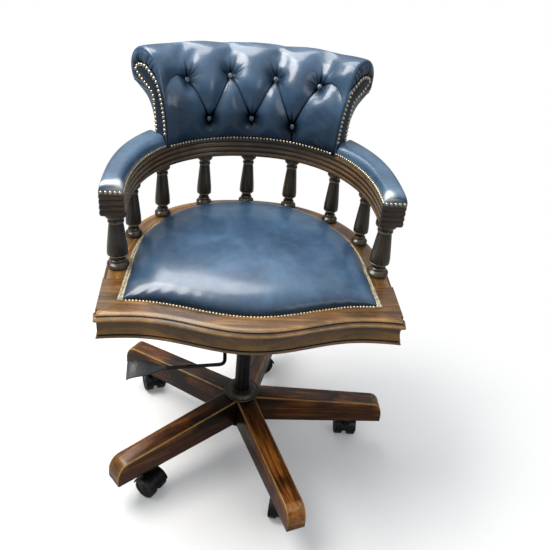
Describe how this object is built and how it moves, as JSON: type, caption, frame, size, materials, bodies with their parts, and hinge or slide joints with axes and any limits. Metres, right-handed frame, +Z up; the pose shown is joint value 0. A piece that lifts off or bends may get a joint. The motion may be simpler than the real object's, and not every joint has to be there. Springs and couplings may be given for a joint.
{
  "type": "swivel captain's chair",
  "caption": "Swivel desk chair with a tufted scrolled leather back, a reeded horseshoe arm rail on turned spindles, a serpentine seat frame and a star base on casters.",
  "frame": {"origin": "on the floor, under the centre of the chair's bounding box; the column's axis stands 20 mm left of it and 40 mm in front of it", "axes": "+Z up, the chair faces -Y, +X is the viewer's right and the sitter's left"},
  "size_m": [0.6521, 0.753, 0.8739],
  "materials": {
    "leg_wood": "glossy, worn",
    "frame_wood": "glossy",
    "rail_wood": "glossy, rubbed highlights",
    "spindle_wood": "glossy, dark",
    "plywood": "bare",
    "leather": "glossy, distressed",
    "black_steel": "satin black",
    "bronze": "dark bronze",
    "steel": "bright",
    "black_plastic": "black"
  },
  "bodies": {
    "base": {"hub_sleeve": "black_steel", "hub_cover": "bronze", "column_tube": "black_steel", "leg_1": "leg_wood", "leg_2": "leg_wood", "leg_3": "leg_wood", "leg_4": "leg_wood", "leg_5": "leg_wood"},
    "caster_1": {"caster_1_hood": "black_steel"},
    "caster_1_a": {"caster_1_wheel_a": "black_plastic"},
    "caster_1_b": {"caster_1_wheel_b": "black_plastic"},
    "caster_2": {"caster_2_hood": "black_steel"},
    "caster_2_a": {"caster_2_wheel_a": "black_plastic"},
    "caster_2_b": {"caster_2_wheel_b": "black_plastic"},
    "caster_3": {"caster_3_hood": "black_steel"},
    "caster_3_a": {"caster_3_wheel_a": "black_plastic"},
    "caster_3_b": {"caster_3_wheel_b": "black_plastic"},
    "caster_4": {"caster_4_hood": "black_steel"},
    "caster_4_a": {"caster_4_wheel_a": "black_plastic"},
    "caster_4_b": {"caster_4_wheel_b": "black_plastic"},
    "caster_5": {"caster_5_hood": "black_steel"},
    "caster_5_a": {"caster_5_wheel_a": "black_plastic"},
    "caster_5_b": {"caster_5_wheel_b": "black_plastic"},
    "lift": {"gas_piston": "steel"},
    "mechanism": {"mechanism_housing": "black_steel", "tilt_pin": "steel", "spring_barrel": "black_steel", "tension_spring": "steel"},
    "knob": {"tension_knob": "black_plastic"},
    "lever": {"lever_rod": "black_steel", "lever_paddle": "black_plastic"},
    "seat": {"seat_plate": "black_steel", "seat_board": "plywood", "seat_front_rail": "frame_wood", "seat_hoop": "frame_wood", "seat_cushion": "leather", "spindle_1": "spindle_wood", "spindle_2": "spindle_wood", "spindle_3": "spindle_wood", "spindle_4": "spindle_wood", "spindle_5": "spindle_wood", "spindle_6": "spindle_wood", "spindle_7": "spindle_wood", "spindle_8": "spindle_wood", "spindle_9": "spindle_wood", "arm_rail": "rail_wood", "arm_pad_right": "leather", "arm_pad_left": "leather", "back_frame": "plywood", "back_cushion": "leather", "back_panel": "leather", "back_facing_left": "leather", "back_facing_right": "leather"}
  },
  "joints": [
    {"name": "caster_1_swivel", "type": "hinge", "parent": "base", "child": "caster_1", "pos_m": [0.24799, -0.03813, 0.09], "axis": [0, 0, 1], "continuous": true},
    {"name": "caster_1_roll_a", "type": "hinge", "parent": "caster_1", "child": "caster_1_a", "pos_m": [0.24939, -0.02219, 0.025], "axis": [-0.9962, 0.0872, 0], "continuous": true},
    {"name": "caster_1_roll_b", "type": "hinge", "parent": "caster_1", "child": "caster_1_b", "pos_m": [0.24939, -0.02219, 0.025], "axis": [-0.9962, 0.0872, 0], "continuous": true},
    {"name": "caster_2_swivel", "type": "hinge", "parent": "base", "child": "caster_2", "pos_m": [0.06103, 0.21546, 0.09], "axis": [0, 0, 1], "continuous": true},
    {"name": "caster_2_roll_a", "type": "hinge", "parent": "caster_2", "child": "caster_2_a", "pos_m": [0.04653, 0.20869, 0.025], "axis": [0.4226, -0.9063, 0], "continuous": true},
    {"name": "caster_2_roll_b", "type": "hinge", "parent": "caster_2", "child": "caster_2_b", "pos_m": [0.04653, 0.20869, 0.025], "axis": [0.4226, -0.9063, 0], "continuous": true},
    {"name": "caster_3_swivel", "type": "hinge", "parent": "base", "child": "caster_3", "pos_m": [-0.23791, 0.11601, 0.09], "axis": [0, 0, 1], "continuous": true},
    {"name": "caster_3_roll_a", "type": "hinge", "parent": "caster_3", "child": "caster_3_a", "pos_m": [-0.24312, 0.13114, 0.025], "axis": [-0.9455, -0.3256, 0], "continuous": true},
    {"name": "caster_3_roll_b", "type": "hinge", "parent": "caster_3", "child": "caster_3_b", "pos_m": [-0.24312, 0.13114, 0.025], "axis": [-0.9455, -0.3256, 0], "continuous": true},
    {"name": "caster_4_swivel", "type": "hinge", "parent": "base", "child": "caster_4", "pos_m": [-0.23571, -0.19904, 0.09], "axis": [0, 0, 1], "continuous": true},
    {"name": "caster_4_roll_a", "type": "hinge", "parent": "caster_4", "child": "caster_4_a", "pos_m": [-0.2226, -0.20821, 0.025], "axis": [0.5736, 0.8192, 0], "continuous": true},
    {"name": "caster_4_roll_b", "type": "hinge", "parent": "caster_4", "child": "caster_4_b", "pos_m": [-0.2226, -0.20821, 0.025], "axis": [0.5736, 0.8192, 0], "continuous": true},
    {"name": "caster_5_swivel", "type": "hinge", "parent": "base", "child": "caster_5", "pos_m": [0.06459, -0.2943, 0.09], "axis": [0, 0, 1], "continuous": true},
    {"name": "caster_5_roll_a", "type": "hinge", "parent": "caster_5", "child": "caster_5_a", "pos_m": [0.06792, -0.27865, 0.025], "axis": [-0.9781, 0.2079, 0], "continuous": true},
    {"name": "caster_5_roll_b", "type": "hinge", "parent": "caster_5", "child": "caster_5_b", "pos_m": [0.06792, -0.27865, 0.025], "axis": [-0.9781, 0.2079, 0], "continuous": true},
    {"name": "seat_height", "type": "slide", "parent": "base", "child": "lift", "axis": [0, 0, 1], "range_m": [0, 0.08]},
    {"name": "seat_swivel", "type": "hinge", "parent": "lift", "child": "mechanism", "pos_m": [-0.02, -0.04, 0.41], "axis": [0, 0, 1], "continuous": true},
    {"name": "tension_screw", "type": "hinge", "parent": "mechanism", "child": "knob", "pos_m": [-0.02, -0.11, 0.363], "axis": [0, 0, 1], "continuous": true},
    {"name": "height_lever", "type": "hinge", "parent": "mechanism", "child": "lever", "pos_m": [-0.02, -0.075, 0.4047], "axis": [-1, 0, 0], "range_deg": [0, 8], "stiffness_Nm_per_rad": 0.6, "springref_deg": -5.73},
    {"name": "seat_tilt", "type": "hinge", "parent": "mechanism", "child": "seat", "pos_m": [-0.02, -0.015, 0.4097], "axis": [-1, 0, 0], "range_deg": [0, 10], "stiffness_Nm_per_rad": 200, "springref_deg": -17.19}
  ]
}
